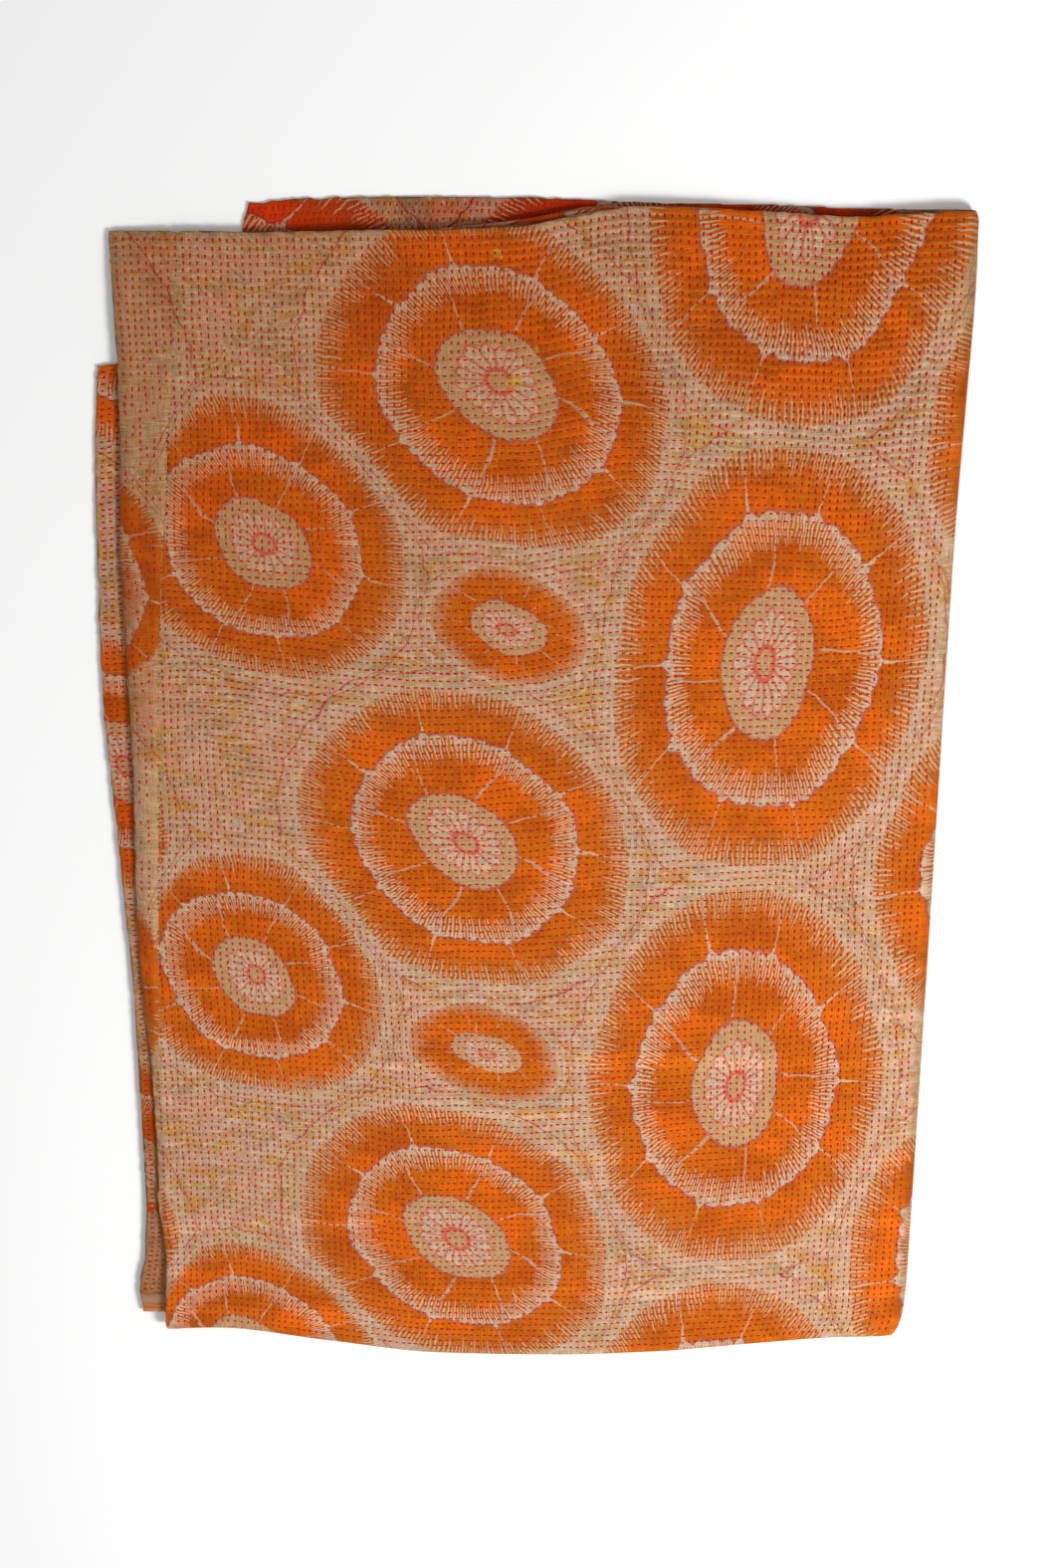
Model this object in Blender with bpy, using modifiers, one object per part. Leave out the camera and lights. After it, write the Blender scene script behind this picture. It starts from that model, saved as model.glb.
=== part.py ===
"""A kantha quilt: one stitched cotton sheet, folded in quarters and lying flat.

Metres, +Z up, Z = 0 the surface it lies on, X across and Y along the folded quilt.
The sheet is folded end to end along its bottom edge and then side to side along
its right edge, which puts four layers on each other: top, second, third, bottom.
Its four hem corners lie unevenly on each other at the top left.
"""

import math

import bmesh
import bpy

# ---- driving dimensions ---------------------------------------------------------
CLOTH = 0.0018          # stitched cloth, thread ripples included
HEM_CLOTH = 0.0024      # turned hem
HEM_WIDTH = 0.012
LAYER_PITCH = 0.0034    # from one layer's middle to the next one's
FOLD_EASE = 0.0009      # a fold is this much deeper than a half circle

# Edges of the four layers seen from above. Each row is a place along the edge,
# and each column after the first is one layer's edge there.
LEFT_EDGE = (
    # y       top      second   third    bottom
    (0.590, -0.3625, -0.3510, -0.3740, -0.2390),
    (0.570, -0.3634, -0.3516, -0.3760, -0.2450),
    (0.462, -0.3622, -0.3500, -0.3765, -0.2600),
    (0.440, -0.3626, -0.3504, -0.3818, -0.2630),
    (0.380, -0.3646, -0.3526, -0.3875, -0.2705),
    (0.270, -0.3704, -0.3580, -0.3928, -0.2855),
    (0.137, -0.3703, -0.3588, -0.3968, -0.3040),
    (0.003, -0.3735, -0.3620, -0.3916, -0.3230),
    (-0.090, -0.3768, -0.3640, -0.3886, -0.3360),
    (-0.170, -0.3756, -0.3626, -0.3857, -0.3475),
    (-0.255, -0.3718, -0.3592, -0.3858, -0.3595),
    (-0.340, -0.3716, -0.3598, -0.3860, -0.3715),
    (-0.410, -0.3736, -0.3622, -0.3873, -0.3815),
    (-0.465, -0.3700, -0.3610, -0.3912, -0.3880),
    (-0.525, -0.3728, -0.3690, -0.4012, -0.3985),
    (-0.545, -0.3738, -0.3725, -0.3980, -0.3980),
    (-0.570, -0.3742, -0.3742, -0.3970, -0.3970),
)
TOP_EDGE = (
    # x       top     second  third   bottom
    (-0.390, 0.5628, 0.5500, 0.4440, 0.5850),
    (-0.364, 0.5640, 0.5515, 0.4485, 0.5860),
    (-0.240, 0.5628, 0.5525, 0.4630, 0.5868),
    (-0.196, 0.5640, 0.5545, 0.4690, 0.5908),
    (-0.074, 0.5656, 0.5665, 0.4860, 0.5925),
    (-0.004, 0.5682, 0.5735, 0.4960, 0.5918),
    (0.065, 0.5810, 0.5845, 0.5065, 0.5892),
    (0.100, 0.5852, 0.5850, 0.5120, 0.5880),
    (0.152, 0.5840, 0.5790, 0.5200, 0.5868),
    (0.213, 0.5808, 0.5730, 0.5300, 0.5852),
    (0.290, 0.5762, 0.5690, 0.5450, 0.5825),
    (0.325, 0.5785, 0.5725, 0.5580, 0.5820),
    (0.391, 0.5812, 0.5765, 0.5765, 0.5812),
)
BOTTOM_FOLD = (
    # x      upper two  lower two
    (-0.405, -0.5600, -0.5380),
    (-0.396, -0.5602, -0.5432),
    (-0.374, -0.5603, -0.5436),
    (-0.322, -0.5590, -0.5450),
    (-0.204, -0.5750, -0.5580),
    (-0.088, -0.5900, -0.5730),
    (0.037, -0.5925, -0.5770),
    (0.139, -0.5886, -0.5740),
    (0.253, -0.5775, -0.5650),
    (0.323, -0.5713, -0.5610),
    (0.383, -0.5690, -0.5640),
    (0.395, -0.5640, -0.5640),
)
RIGHT_FOLD = (
    # y       outer face
    (0.5830, 0.3962),
    (0.5740, 0.3992),
    (0.5080, 0.4012),
    (0.4060, 0.3995),
    (0.2890, 0.3978),
    (-0.0680, 0.3995),
    (-0.4965, 0.4012),
    (-0.5350, 0.4000),
    (-0.5570, 0.3960),
    (-0.5700, 0.3915),
)
TOP, SECOND, THIRD, BOTTOM = range(1, 5)        # columns of the two hem tables
UPPER_PAIR, LOWER_PAIR = 1, 2                   # columns of BOTTOM_FOLD

# How a layer carries what lies on it past its own hem or fold: full height for
# "hold", then down over "ramp" to the next layer below.
CARRY = {
    # layer:  hold    ramp
    SECOND: (0.002, 0.014),
    THIRD: (0.040, 0.100),
    BOTTOM: (0.040, 0.100),
}
FOLD_CARRY = (0.006, 0.045)

# Soft creases that cross the top layer, left by earlier folding.
CREASES = (
    # y at left  y at right  half width  height
    (-0.215, -0.238, 0.022, 0.0014),
    (-0.452, -0.474, 0.020, 0.0012),
    (0.325, 0.300, 0.034, 0.0007),
)
CREASE_CLEAR = 0.045    # creases fade out this far from the hems and folds

# Grid of the sheet: turns of the two folds, then places across and along a layer.
FOLD_ACROSS = (-90, -60, -30, 0, 30, 60, 90)
FOLD_ALONG = (-90, -45, 0, 45, 90)
SIDE_MARGINS = (0.022, HEM_WIDTH, 0.006, 0.0)   # from the left hem
END_MARGINS = (0.022, HEM_WIDTH, 0.005, 0.0)    # from the top hem
FOLD_MARGINS = (0.008, 0.018, 0.030)            # from the bottom fold
COLUMNS = 14
ROWS_OUTSIDE = (                                # shares of the length, top and bottom layer
    0.045, 0.085, 0.105, 0.125, 0.165, 0.21, 0.26, 0.295, 0.315, 0.335, 0.38, 0.43,
    0.49, 0.55, 0.61, 0.67, 0.73, 0.775, 0.80, 0.83, 0.87, 0.91, 0.955,
)
ROWS_INSIDE = 18                                # second and third layer

COLLECTION = "kantha quilt"
COTTON = (0.62, 0.21, 0.06, 1.0)
COTTON_ROUGHNESS = 0.9


# ---- edge curves ----------------------------------------------------------------
def step(amount):
    """Smooth step from 0 to 1."""
    amount = min(max(amount, 0.0), 1.0)
    return amount * amount * (3 - 2 * amount)


def slope_at(places, values, index):
    """Slope at a table row: none at a turning point, so a curve never overshoots."""
    if index in (0, len(places) - 1):
        return 0.0
    before = (values[index] - values[index - 1]) / (places[index] - places[index - 1])
    after = (values[index + 1] - values[index]) / (places[index + 1] - places[index])
    if before * after <= 0:
        return 0.0
    return 2 * before * after / (before + after)


def edge(table, column, place):
    """A smooth curve through one column of an edge table."""
    rows = sorted(table)
    places = [row[0] for row in rows]
    values = [row[column] for row in rows]
    place = min(max(place, places[0]), places[-1])
    low = max(index for index in range(len(rows) - 1) if places[index] <= place)
    span = places[low + 1] - places[low]
    part = (place - places[low]) / span
    rise = step(part) * (values[low + 1] - values[low])
    leave = slope_at(places, values, low) * span * part * (1 - part) ** 2
    arrive = slope_at(places, values, low + 1) * span * part ** 2 * (1 - part)
    return values[low] + rise + leave - arrive


def fold_column(layer):
    return UPPER_PAIR if layer in (TOP, SECOND) else LOWER_PAIR


def cover(layer, x, y):
    """1 on a layer, falling smoothly to 0 beyond its hems and its bottom fold."""
    hold, ramp = CARRY[layer]
    fold_hold, fold_ramp = FOLD_CARRY
    past_left = edge(LEFT_EDGE, layer, y) - x - hold
    past_top = y - edge(TOP_EDGE, layer, x) - hold
    past_fold = edge(BOTTOM_FOLD, fold_column(layer), x) - y - fold_hold
    if layer == SECOND:
        past_fold = 0.0     # the top layer shares its fold, so it never runs past it
    return (1 - step(past_left / ramp)) * (1 - step(past_top / ramp)) * (1 - step(past_fold / fold_ramp))


def crease(x, y):
    """Height of the soft creases on the top layer."""
    left = edge(LEFT_EDGE, TOP, y)
    right = edge(RIGHT_FOLD, 1, y)
    low = edge(BOTTOM_FOLD, UPPER_PAIR, x)
    high = edge(TOP_EDGE, TOP, x)
    room = min(x - left, right - x, y - low, high - y)
    across = (x - left) / (right - left)
    total = 0.0
    for y_left, y_right, half_width, height in CREASES:
        middle = y_left + (y_right - y_left) * across
        total += height * (1 - step(abs(y - middle) / half_width))
    return total * step(room / CREASE_CLEAR)


# ---- the folded sheet -----------------------------------------------------------
class Line:
    """One grid line: its side of a fold, its turn in the fold, and its place."""

    def __init__(self, side, turn, share, offset, hem):
        self.side = side            # 1 on the top layer's side of the fold, -1 beyond it
        self.turn = turn            # degrees round the fold, -90 to 90
        self.share = share          # of the way from the fold to the hem
        self.offset = offset        # metres added, away from the fold
        self.hem = hem              # True on the turned hem


def fold_lines(turns):
    return [Line(1 if turn >= 0 else -1, turn, 0.0, 0.0, False) for turn in turns]


def flat_lines(side, shares, fold_margins, hem_margins):
    """Lines on one side of a fold, from the fold to the hem."""
    turn = 90 * side
    first = fold_margins[-1] if fold_margins else 0.0
    last = hem_margins[0]
    lines = [Line(side, turn, 0.0, margin, False) for margin in fold_margins]
    lines += [Line(side, turn, q, first * (1 - q) - last * q, False) for q in shares]
    lines += [Line(side, turn, 1.0, -margin, margin <= HEM_WIDTH) for margin in hem_margins]
    return lines


def even(count):
    return [(index + 1) / (count + 1) for index in range(count)]


def layer_of(column, row):
    """The layer that a column and a row lie on, with a fold counted to its side."""
    if column.side > 0:
        return TOP if row.side > 0 else SECOND
    return BOTTOM if row.side > 0 else THIRD


def thickness(column, row):
    return HEM_CLOTH if column.hem or row.hem else CLOTH


def lie(column, row):
    """A point of the sheet's middle, without the turn of the right fold."""
    layer = layer_of(column, row)
    pair = fold_column(layer)
    turn = math.sin(math.radians(row.turn))
    depth = (LAYER_PITCH / 2 + FOLD_EASE) * (1 - math.cos(math.radians(row.turn)))
    inset = 1.5 * LAYER_PITCH + FOLD_EASE + CLOTH / 2
    x, y = 0.0, 0.0
    for _ in range(4):      # the left hem depends on y and the fold and top hem on x
        start = edge(BOTTOM_FOLD, pair, x) + CLOTH / 2
        end = edge(TOP_EDGE, layer, x)
        y = start + depth + (end - start - depth) * row.share + row.offset
        right = edge(RIGHT_FOLD, 1, y) - inset
        left = edge(LEFT_EDGE, layer, y)
        x = right + (left - right) * column.share - column.offset
    bed = thickness(column, row) / 2
    if column.side < 0:
        lift = cover(BOTTOM, x, y) * (1 - turn) / 2
        return x, y, bed + LAYER_PITCH * lift
    below = cover(BOTTOM, x, y) + cover(THIRD, x, y)
    lift = cover(SECOND, x, y) * (1 + turn) / 2
    ridge = crease(x, y) * max(turn, 0.0)
    return x, y, bed + LAYER_PITCH * (below + lift) + ridge


def sheet_point(column, row):
    """A point of the sheet's middle, with the turn of the right fold."""
    if abs(column.turn) == 90:
        return lie(column, row)
    upper = lie(Line(1, 90, 0.0, 0.0, False), row)
    lower = lie(Line(-1, -90, 0.0, 0.0, False), row)
    radius = (upper[2] - lower[2]) / 2
    rise = math.sin(math.radians(column.turn))
    reach = math.cos(math.radians(column.turn))
    x, y, z = (low + (high - low) * (1 + rise) / 2 for low, high in zip(lower, upper))
    return x + (radius + FOLD_EASE) * reach, y, z


def sheet_lines():
    """Columns from the top layer's left hem, and rows from the second layer's top hem."""
    outer = flat_lines(1, even(COLUMNS), (), SIDE_MARGINS)
    inner = flat_lines(-1, even(COLUMNS), (), SIDE_MARGINS)
    columns = outer[::-1] + fold_lines(FOLD_ACROSS)[::-1] + inner
    near = flat_lines(1, ROWS_OUTSIDE, FOLD_MARGINS, END_MARGINS)
    far = flat_lines(-1, even(ROWS_INSIDE), FOLD_MARGINS, END_MARGINS)
    rows = far[::-1] + fold_lines(FOLD_ALONG) + near
    return columns, rows


def make_quilt(collection):
    """The whole quilt: an open grid laid in its folds, made solid."""
    columns, rows = sheet_lines()
    across, along = len(columns) - 1, len(rows) - 1
    grid = bmesh.new()
    bmesh.ops.create_grid(grid, x_segments=across, y_segments=along, size=1.0)
    weights = {}
    for index, vertex in enumerate(grid.verts):
        column = columns[round((vertex.co.x + 1) / 2 * across)]
        row = rows[round((vertex.co.y + 1) / 2 * along)]
        vertex.co = sheet_point(column, row)
        weights[index] = thickness(column, row) / HEM_CLOTH
    mesh = bpy.data.meshes.new("quilt")
    grid.to_mesh(mesh)
    grid.free()
    mesh.shade_smooth()
    mesh.materials.append(cotton())

    quilt = bpy.data.objects.new("quilt", mesh)
    collection.objects.link(quilt)
    group = quilt.vertex_groups.new(name="cloth")
    for index, weight in weights.items():
        group.add([index], weight, "REPLACE")
    shell = quilt.modifiers.new("cloth", "SOLIDIFY")
    shell.thickness = HEM_CLOTH
    shell.offset = 0.0
    shell.use_even_offset = True
    shell.use_quality_normals = True
    shell.vertex_group = group.name
    shell.thickness_vertex_group = 0.0


def cotton():
    material = bpy.data.materials.new("printed cotton")
    material.use_nodes = True
    shader = material.node_tree.nodes["Principled BSDF"]
    shader.inputs["Base Color"].default_value = COTTON
    shader.inputs["Roughness"].default_value = COTTON_ROUGHNESS
    shader.inputs["Metallic"].default_value = 0.0
    return material


def main():
    for existing in list(bpy.data.objects):
        bpy.data.objects.remove(existing)
    collection = bpy.data.collections.new(COLLECTION)
    bpy.context.scene.collection.children.link(collection)
    make_quilt(collection)


main()
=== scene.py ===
"""A printed kantha quilt, folded in quarters: its cloth, its running stitch and its print.

Metres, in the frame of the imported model: +Z up, Z = 0 the surface it lies on. The
quilt is one closed sheet on the folds of its solid. Its grid follows the rows of
running stitch, so that the puckers and the stitches lie on the same lines. The
print is worked out in the material, flower by flower, from places on the flat cloth.
"""

import math

import bmesh
import bpy
import numpy as np
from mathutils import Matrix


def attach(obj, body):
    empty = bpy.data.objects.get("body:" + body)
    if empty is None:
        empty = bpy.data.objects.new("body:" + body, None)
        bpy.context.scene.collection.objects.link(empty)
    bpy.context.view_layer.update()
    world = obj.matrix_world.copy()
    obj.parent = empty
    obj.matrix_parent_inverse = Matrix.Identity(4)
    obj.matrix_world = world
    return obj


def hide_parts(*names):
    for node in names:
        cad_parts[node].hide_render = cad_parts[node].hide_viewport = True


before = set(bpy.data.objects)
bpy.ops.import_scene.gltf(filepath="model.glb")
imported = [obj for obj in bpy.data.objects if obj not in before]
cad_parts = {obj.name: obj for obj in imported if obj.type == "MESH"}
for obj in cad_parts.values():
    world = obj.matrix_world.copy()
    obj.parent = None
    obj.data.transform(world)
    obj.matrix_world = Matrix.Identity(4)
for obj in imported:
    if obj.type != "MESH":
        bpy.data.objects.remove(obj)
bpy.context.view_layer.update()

# ---- the fold, in the solid's own sizes ----
CLOTH = 0.0018          # stitched cloth, thread ripples included
HEM_CLOTH = 0.0024      # turned hem
HEM_WIDTH = 0.012
HEM_SLOPE = 0.006       # over which the hem thins to the cloth
HEM_WAVE = 0.0012       # the hems pucker in and out between stitches
HEM_WAVE_PITCH, HEM_WAVE_REACH = 0.0042, 0.010
LAYER_PITCH = 0.0034    # from one layer's middle to the next one's
FOLD_EASE = 0.0009      # a fold is this much deeper than a half circle

LEFT_EDGE = (
    # y       top      second   third    bottom
    (0.590, -0.3625, -0.3510, -0.3740, -0.2390),
    (0.570, -0.3634, -0.3516, -0.3760, -0.2450),
    (0.462, -0.3622, -0.3500, -0.3765, -0.2600),
    (0.440, -0.3626, -0.3504, -0.3818, -0.2630),
    (0.380, -0.3646, -0.3526, -0.3875, -0.2705),
    (0.270, -0.3704, -0.3580, -0.3928, -0.2855),
    (0.137, -0.3703, -0.3588, -0.3968, -0.3040),
    (0.003, -0.3735, -0.3620, -0.3916, -0.3230),
    (-0.090, -0.3768, -0.3640, -0.3886, -0.3360),
    (-0.170, -0.3756, -0.3626, -0.3857, -0.3475),
    (-0.255, -0.3718, -0.3592, -0.3858, -0.3595),
    (-0.340, -0.3716, -0.3598, -0.3860, -0.3715),
    (-0.410, -0.3736, -0.3622, -0.3873, -0.3815),
    (-0.465, -0.3700, -0.3610, -0.3912, -0.3880),
    (-0.525, -0.3728, -0.3690, -0.4012, -0.3985),
    (-0.545, -0.3738, -0.3725, -0.3980, -0.3980),
    (-0.570, -0.3742, -0.3742, -0.3970, -0.3970),
)
TOP_EDGE = (
    # x       top     second  third   bottom
    (-0.390, 0.5628, 0.5500, 0.4440, 0.5850),
    (-0.364, 0.5640, 0.5515, 0.4485, 0.5860),
    (-0.240, 0.5628, 0.5525, 0.4630, 0.5868),
    (-0.196, 0.5640, 0.5545, 0.4690, 0.5908),
    (-0.074, 0.5656, 0.5665, 0.4860, 0.5925),
    (-0.004, 0.5682, 0.5735, 0.4960, 0.5918),
    (0.065, 0.5810, 0.5845, 0.5065, 0.5892),
    (0.100, 0.5852, 0.5850, 0.5120, 0.5880),
    (0.152, 0.5840, 0.5790, 0.5200, 0.5868),
    (0.213, 0.5808, 0.5730, 0.5300, 0.5852),
    (0.290, 0.5762, 0.5690, 0.5450, 0.5825),
    (0.325, 0.5785, 0.5725, 0.5580, 0.5820),
    (0.391, 0.5812, 0.5765, 0.5765, 0.5812),
)
BOTTOM_FOLD = (
    # x      upper two  lower two
    (-0.405, -0.5600, -0.5380),
    (-0.396, -0.5602, -0.5432),
    (-0.374, -0.5603, -0.5436),
    (-0.322, -0.5590, -0.5450),
    (-0.204, -0.5750, -0.5580),
    (-0.088, -0.5900, -0.5730),
    (0.037, -0.5925, -0.5770),
    (0.139, -0.5886, -0.5740),
    (0.253, -0.5775, -0.5650),
    (0.323, -0.5713, -0.5610),
    (0.383, -0.5690, -0.5640),
    (0.395, -0.5640, -0.5640),
)
RIGHT_FOLD = (
    # y       outer face
    (0.5830, 0.3962),
    (0.5740, 0.3992),
    (0.5080, 0.4012),
    (0.4060, 0.3995),
    (0.2890, 0.3978),
    (-0.0680, 0.3995),
    (-0.4965, 0.4012),
    (-0.5350, 0.4000),
    (-0.5570, 0.3960),
    (-0.5700, 0.3915),
)
TOP, SECOND, THIRD, BOTTOM = range(1, 5)  # columns of the two hem tables
LAYERS = (TOP, SECOND, THIRD, BOTTOM)
UPPER_PAIR, LOWER_PAIR = 1, 2  # columns of BOTTOM_FOLD
CARRY = {
    # layer:  hold    ramp: how far past its edges it bears the layers above, and the slope after
    SECOND: (0.002, 0.014),
    THIRD: (0.040, 0.100),
    BOTTOM: (0.040, 0.100),
}
FOLD_CARRY = (0.006, 0.045)  # the same past the lower pair's bottom fold
CREASES = (
    # y at left  y at right  half width  height
    (-0.215, -0.238, 0.022, 0.0014),
    (-0.452, -0.474, 0.020, 0.0012),
    (0.325, 0.300, 0.034, 0.0007),
)
CREASE_CLEAR = 0.045    # creases fade out this far from the hems and folds
WIDTH, LENGTH = 0.765, 1.145  # a flat layer, on average
START_X, START_Y = 0.392, -0.570  # the top layer's corner at its folds

# ---- running stitch ----
ROWS_ACROSS = 116       # stitches or rows side by side on the top layer
ROWS_ALONG = 162        # and from its bottom fold to its top hem
ROW_WANDER = 0.0022
ROW_PHASE = 0.0010      # one row's stitches against the next one's
ROW_SLANTS = (
    # x      y      reach x  reach y  rise: where rows lean, down to the right
    (-0.215, 0.170, 0.110, 0.150, 0.0090),
    (0.050, 0.300, 0.160, 0.110, 0.0040),
    (0.080, -0.430, 0.160, 0.090, -0.0040),
)
CROSS_ROWS = (
    # y, x at left, x at right: where the rows run across; elsewhere they run along
    (0.475, 0.010, 0.020),
    (0.467, -0.066, 0.031),
    (0.436, -0.111, 0.085),
    (0.346, -0.140, 0.176),
    (0.291, -0.178, 0.324),
    (0.272, -0.330, 0.330),
    (0.147, -0.335, 0.337),
    (0.012, -0.235, 0.335),
    (-0.004, -0.225, 0.264),
    (-0.038, -0.205, 0.260),
    (-0.162, -0.103, 0.177),
    (-0.284, -0.100, 0.176),
    (-0.398, -0.128, 0.230),
    (-0.469, -0.186, 0.268),
    (-0.566, -0.236, 0.257),
)
ZONE_BLUR = 0.006       # how far a zone's edge wanders, and how soft it is
RIDGE = 0.00040         # puckers between the stitches of rows that run along
FURROW = 0.00024        # and the cloth's dip along rows that run across
DIMPLE = 0.00016        # fine puckers, in the material
PUCKER_GROWS = (
    # y      strength
    (-0.60, 0.50),
    (-0.10, 0.55),
    (0.20, 0.80),
    (0.40, 1.25),
    (0.58, 1.30),
)
CRUMPLE = 0.00012       # small unevenness between the rows
SWELL = 0.0011          # slow unevenness of the top layer
STITCH_LENGTH = 0.0042
THREAD_WIDE, THREAD_HIGH = 0.00080, 0.00052  # half sizes of a stitch
STRIP_PITCH = 0.0066    # of the stitches on the strips of the lower layers
EDGE_CLEAR = 0.0045     # no stitch nearer a hem or a fold
SEAM_CLEAR = 0.0012     # nor nearer the seam of the strip
PLAIN_BAND = 0.0045     # left of the seam, without stitches, as far up as PLAIN_TOP
PLAIN_TOP = 0.480

# The strip joined to the left side of the top layer.
SEAM = (
    # y      x
    (-0.590, -0.3742),
    (-0.272, -0.3690),
    (-0.239, -0.3640),
    (-0.066, -0.3540),
    (0.147, -0.3420),
    (0.272, -0.3320),
    (0.328, -0.3240),
    (0.382, -0.3210),
    (0.418, -0.3150),
    (0.549, -0.3030),
    (0.600, -0.2990),
)
SEAM_DEEP, SEAM_WIDE, SEAM_RISE = 0.0006, 0.0022, 0.0003
SEAM_STITCH = 0.0042    # pitch of the seam's own small stitches
SEAM_SEWN = (-0.20, 0.540)  # from and to, up the seam
SEAM_DENSE = (0.325, 0.392)  # where none of them is missing
SEAM_STITCH_LENGTH, SEAM_STITCH_LEAN = 0.0032, 0.8
SEAM_THREAD_WIDE, SEAM_THREAD_HIGH = 0.00042, 0.00038

# ---- the grid: places 1 to 2 are a layer from fold to hem, -1 to 1 a fold ----
FOLD_TURNS = 10
RIM = (0.0013, 0.0004, 0.0)  # last lines before a hem's edge
RIM_THIN = 0.30         # a hem's edge, of its thickness
HIDDEN = 1.02           # where a coarse part starts
SEED = 7
FIELD_SIZE = 64         # random values each way, before they repeat


# ---- numbers ----
def step(amount):
    """Smooth step from 0 to 1."""
    amount = np.clip(amount, 0.0, 1.0)
    return amount * amount * (3 - 2 * amount)


def field(x, y, pitch, seed):
    """Smooth random values from -1 to 1 over the plane, a new one at every pitch."""
    values = np.random.default_rng(seed).uniform(-1, 1, (FIELD_SIZE, FIELD_SIZE))
    column, row = x / pitch, y / pitch
    left, low = np.floor(column).astype(int), np.floor(row).astype(int)
    part_x, part_y = step(column - left), step(row - low)
    right, high = (left + 1) % FIELD_SIZE, (low + 1) % FIELD_SIZE
    left, low = left % FIELD_SIZE, low % FIELD_SIZE
    below = values[left, low] * (1 - part_x) + values[right, low] * part_x
    above = values[left, high] * (1 - part_x) + values[right, high] * part_x
    return below * (1 - part_y) + above * part_y


def least(*amounts):
    """The smallest of the amounts at each place."""
    return np.minimum.reduce(amounts)


def pairs(first, second):
    """Each of the first with each of the second."""
    return [part.ravel() for part in np.meshgrid(first, second, indexing="ij")]


def column_of(table, place, column=1):
    """A table's column read along its first one, in straight pieces."""
    rows = np.array(sorted(table))
    return np.interp(place, rows[:, 0], rows[:, column])


def edge(table, column, place):
    """A smooth curve through one column of an edge table, as on the solid."""
    rows = np.array(sorted(table))
    places, values = rows[:, 0], rows[:, column]
    place = np.clip(place, places[0], places[-1])
    low = np.clip(np.searchsorted(places, place, side="right") - 1, 0, len(places) - 2)
    span = np.diff(places)
    slopes = np.diff(values) / span
    before, after = slopes[:-1], slopes[1:]
    same_way = before * after > 0
    total = np.where(same_way, before + after, 1.0)
    bend = np.zeros(len(places))
    bend[1:-1] = np.where(same_way, 2 * before * after / total, 0.0)
    part = (place - places[low]) / span[low]
    rise = step(part) * (values[low + 1] - values[low])
    leave = bend[low] * span[low] * part * (1 - part) ** 2
    arrive = bend[low + 1] * span[low] * part ** 2 * (1 - part)
    return values[low] + rise + leave - arrive


def edge_of(table, layer, place):
    """Each point's own layer's edge."""
    result = np.zeros_like(place)
    for column in LAYERS:
        mine = layer == column
        result[mine] = edge(table, column, place[mine])
    return result


# ---- the folded sheet ----
def cover(layer, x, y):
    """1 on a layer, falling smoothly to 0 beyond its hems and its bottom fold."""
    hold, ramp = CARRY[layer]
    fold_hold, fold_ramp = FOLD_CARRY
    past_left = edge(LEFT_EDGE, layer, y) - x - hold
    past_top = y - edge(TOP_EDGE, layer, x) - hold
    result = (1 - step(past_left / ramp)) * (1 - step(past_top / ramp))
    if layer != SECOND:
        past_fold = edge(BOTTOM_FOLD, LOWER_PAIR, x) - y - fold_hold
        result = result * (1 - step(past_fold / fold_ramp))
    return result


def top_ridge(x, y):
    """Height of the soft creases and the slow unevenness of the top layer."""
    left, right = edge(LEFT_EDGE, TOP, y), edge(RIGHT_FOLD, 1, y)
    low, high = edge(BOTTOM_FOLD, UPPER_PAIR, x), edge(TOP_EDGE, TOP, x)
    room = least(x - left, right - x, y - low, high - y)
    across = (x - left) / (right - left)
    total = SWELL * (0.5 + 0.5 * field(x, y, 0.075, SEED + 1))
    for y_left, y_right, half_width, height in CREASES:
        middle = y_left + (y_right - y_left) * across
        total = total + height * (1 - step(np.abs(y - middle) / half_width))
    return total * step(room / CREASE_CLEAR)


def lie(upper, row, across):
    """The sheet's middle without the turn of the right fold: x, y, z and thickness."""
    turn = np.radians(90 * np.clip(row, -1, 1))
    along = np.clip(np.abs(row) - 1, 0, 1)
    near = row >= 0
    layer = np.where(upper, np.where(near, TOP, SECOND), np.where(near, BOTTOM, THIRD))
    depth = (LAYER_PITCH / 2 + FOLD_EASE) * (1 - np.cos(turn))
    inset = 1.5 * LAYER_PITCH + FOLD_EASE + CLOTH / 2
    x = np.zeros_like(across)
    for _ in range(4):      # the left hem depends on y and the fold and top hem on x
        folds = [edge(BOTTOM_FOLD, pair, x) for pair in (UPPER_PAIR, LOWER_PAIR)]
        start = np.where(upper, *folds) + CLOTH / 2 + depth
        end = edge_of(TOP_EDGE, layer, x)
        y = start + (end - start) * along
        right = edge(RIGHT_FOLD, 1, y) - inset
        left = edge_of(LEFT_EDGE, layer, y)
        x = right + (left - right) * across
    to_left, to_end = (1 - across) * (right - left), (1 - along) * (end - start)
    to_hem = np.minimum(to_left, to_end)
    x += HEM_WAVE * field(y, x, HEM_WAVE_PITCH, SEED + 11) * step(1 - to_left / HEM_WAVE_REACH)
    y += HEM_WAVE * field(x, y, HEM_WAVE_PITCH, SEED + 12) * step(1 - to_end / HEM_WAVE_REACH)
    hem = 1 - step((to_hem - HEM_WIDTH) / HEM_SLOPE)
    thick = CLOTH + (HEM_CLOTH - CLOTH) * hem
    carried = cover(BOTTOM, x, y)
    on_floor = LAYER_PITCH * carried * (1 - np.sin(turn)) / 2
    lift = cover(THIRD, x, y) + cover(SECOND, x, y) * (1 + np.sin(turn)) / 2
    on_layers = LAYER_PITCH * (carried + lift) + top_ridge(x, y) * np.maximum(np.sin(turn), 0)
    z = thick / 2 + np.where(upper, on_layers, on_floor)
    return np.array([x, y, z]), thick, to_hem


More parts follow.
